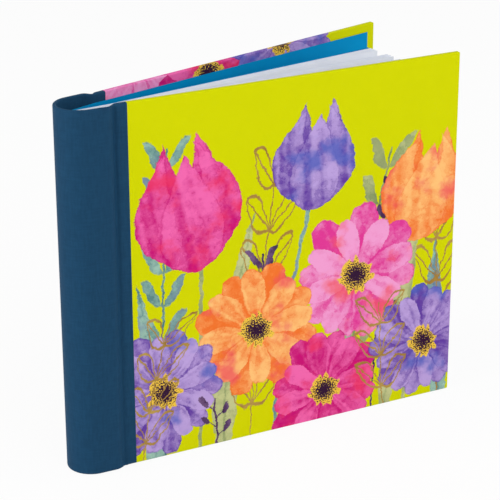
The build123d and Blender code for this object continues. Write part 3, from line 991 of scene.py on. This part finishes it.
tabPitch = (book["leafHeight"] - 2 * dividers["tabMargin"]) / sections["count"]
for number in range(1, sections["count"] + 1):
    bendX, bendY, lean = sectionPlace(number)
    line = leafLine(bendX, lean)
    stack = leafStackPiece(number, line, bendX, bendY, lean)

    # divider: a card the size of the leaves with one tab, a step lower on each
    turn = Matrix.Rotation(lean, 2)
    cardLine = [turn @ (place - Vector((0, dividers["offset"]))) + Vector((bendX, bendY)) for place in line]
    levels = [book["leafFoot"], *leaves["levels"], leafTop]
    card = sheetPiece(f"index_card_{number:02d}", cardLine, levels, dividers["thick"], dividerCard)
    top = leafTop - dividers["tabMargin"] - (number - 1) * tabPitch
    foot = top - tabPitch + dividers["tabGap"]
    ahead = (cardLine[-1] - cardLine[-2]).normalized()
    tab = indexTab(number, cardLine[-1], ahead, foot, top)
    facing = Vector((ahead.y, -ahead.x))
    middle = cardLine[-1] + ahead * dividers["tabReach"] * dividers["letterAt"]
    middle += facing * (dividers["thick"] / 2 + dividers["letterLift"])
    letters = indexLetters(f"index_letters_{number:02d}", dividers["letters"][number - 1],
                           rowPoint(*middle, (top + foot) / 2), (*ahead, 0), (*facing, 0))

    fixed = number == sections["fixed"]
    body = "spine" if fixed else f"section_{number:02d}"
    for piece, node in ((stack, "leaves"), (card, "divider"), (tab, "divider"), (letters, "divider")):
        if fixed or piece in (tab, letters):
            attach(piece, body)
        else:
            bendPiece(piece, bendX, bendY, lean)
        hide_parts(f"{node}_{number:02d}")
        if piece is stack and not fixed:
            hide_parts("bound_edges")
print("leaves:", sections["count"], "sections of", leaves["perSection"])

hidden = {  # boards, card, glue and gauze keep their solids: nodes, pale and deep colour, roughness
    "greyboard": (("front_board", "back_board", "spine_card"),
                  tone(150, 146, 138), tone(118, 114, 108), 0.85),
    "bindingGlue": (("spine_glue",), tone(226, 220, 200), tone(206, 196, 170), 0.45),
    "gauze": (("mull",), tone(232, 228, 216), tone(196, 190, 174), 0.9, 0.0011),  # and metres between threads
}


def fillerMaterial(name, pale, deep, rough, thread=None):
    material, wire, shader = newMaterial(name, Roughness=rough)
    place = objectCoord(wire)
    fleck = place.noise(1800, 4, 0.7)
    if thread:
        split = splitCoord(place)
        across, up = ((split.beside(k) * (2 * pi / thread)).sine() for k in (1, 2))
        fleck = across.most(up) * 0.4 + fleck * 0.4
    feed(wire, shader, Base_Color=fleck.step(0.2, 0.8).blend(deep, pale), Normal=bump(fleck, 0.0001, 0.5))
    return material


for name, (nodes, *look) in hidden.items():
    filler = fillerMaterial(name, *look)
    for node in nodes:
        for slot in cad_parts[node].material_slots:
            slot.material = filler
print("inside: board, glue and gauze")

stageLook = {
    "floorSize": 6.0,
    "floorDrop": 0.0002,
    "floor": (0.86, 0.86, 0.86, 1.0),
    "floorWhite": 0.93,  # how much of the floor is plain white to the camera
    "ambient": 0.42,
    "lamps": {  # place, aim, size, power
        "keyLamp": ((-1.3, 0.15, 0.6), (0, 0, 0.08), 0.9, 10.5),
        "fillLamp": ((0.5, -1.3, 0.8), (0, 0, 0.08), 1.2, 0.6),
        "frontLamp": ((-0.25, -1.15, 0.9), (0, 0, 0.1), 1.0, 8.0),
        "sideLamp": ((1.2, -0.55, 0.6), (0, 0, 0.1), 0.9, 5.5),
    },
    "cameraPlace": (-0.415335, -0.65623, 0.38370),
    "cameraTilt": 68.483,
    "cameraTurn": -32.57,
    "cameraRoll": -0.15,
    "lens": 138.07,
    "sensor": 36.0,
}


def seenDirectly(wire):  # 1 where the camera looks, also in a reflection or through glass
    path = wire.node("ShaderNodeLightPath")
    return path.most(path.beside("Is Glossy Ray")).most(path.beside("Is Transmission Ray"))


def floorMaterial():
    material, wire, shader = newMaterial("paleFloor", Roughness=0.9, Base_Color=stageLook["floor"])
    plain = wire.node("ShaderNodeEmission", None, {"Color": white, "Strength": 1.0})
    lit = Wire(wire.tree, shader.outputs[0])
    shown = wire.node("ShaderNodeMixShader", None,
                      {0: seenDirectly(wire) * stageLook["floorWhite"], 1: lit, 2: plain})
    wire.tree.links.new(shown.socket, wire.tree.nodes["Material Output"].inputs["Surface"])
    return material


half, drop = stageLook["floorSize"] / 2, stageLook["floorDrop"]
floorCorners = [(x * half, y * half, -drop) for x, y in ((-1, -1), (1, -1), (1, 1), (-1, 1))]
floorMesh = bpy.data.meshes.new("floor")
floorMesh.from_pydata(floorCorners, [], [(0, 1, 2, 3)])
floor = added("floor", floorMesh, floorMaterial())

world = bpy.data.worlds.new("studio")
scene.world = world
world.use_nodes = True
sky = Wire(world.node_tree)
background = world.node_tree.nodes["Background"]
background.inputs["Color"].default_value = white
strength = seenDirectly(sky) * (1 - stageLook["ambient"]) + stageLook["ambient"]
sky.tree.links.new(strength.socket, background.inputs["Strength"])

for name, (place, aim, size, power) in stageLook["lamps"].items():
    lamp = bpy.data.lights.new(name, "AREA")
    lamp.energy, lamp.size = power, size
    light = bpy.data.objects.new(name, lamp)
    light.location = place
    light.rotation_euler = (Vector(aim) - Vector(place)).to_track_quat("-Z", "Y").to_euler()
    scene.collection.objects.link(light)

cameraData = bpy.data.cameras.new("camera")
cameraData.lens, cameraData.sensor_width = stageLook["lens"], stageLook["sensor"]
camera = bpy.data.objects.new("camera", cameraData)
camera.location = stageLook["cameraPlace"]
aim = Euler((radians(stageLook["cameraTilt"]), 0.0, radians(stageLook["cameraTurn"]))).to_matrix()
camera.rotation_euler = (aim @ Matrix.Rotation(radians(stageLook["cameraRoll"]), 3, "Z")).to_euler()
scene.collection.objects.link(camera)
scene.camera = camera
scene.view_settings.view_transform = "Standard"
print("stage: floor, lamps and camera")
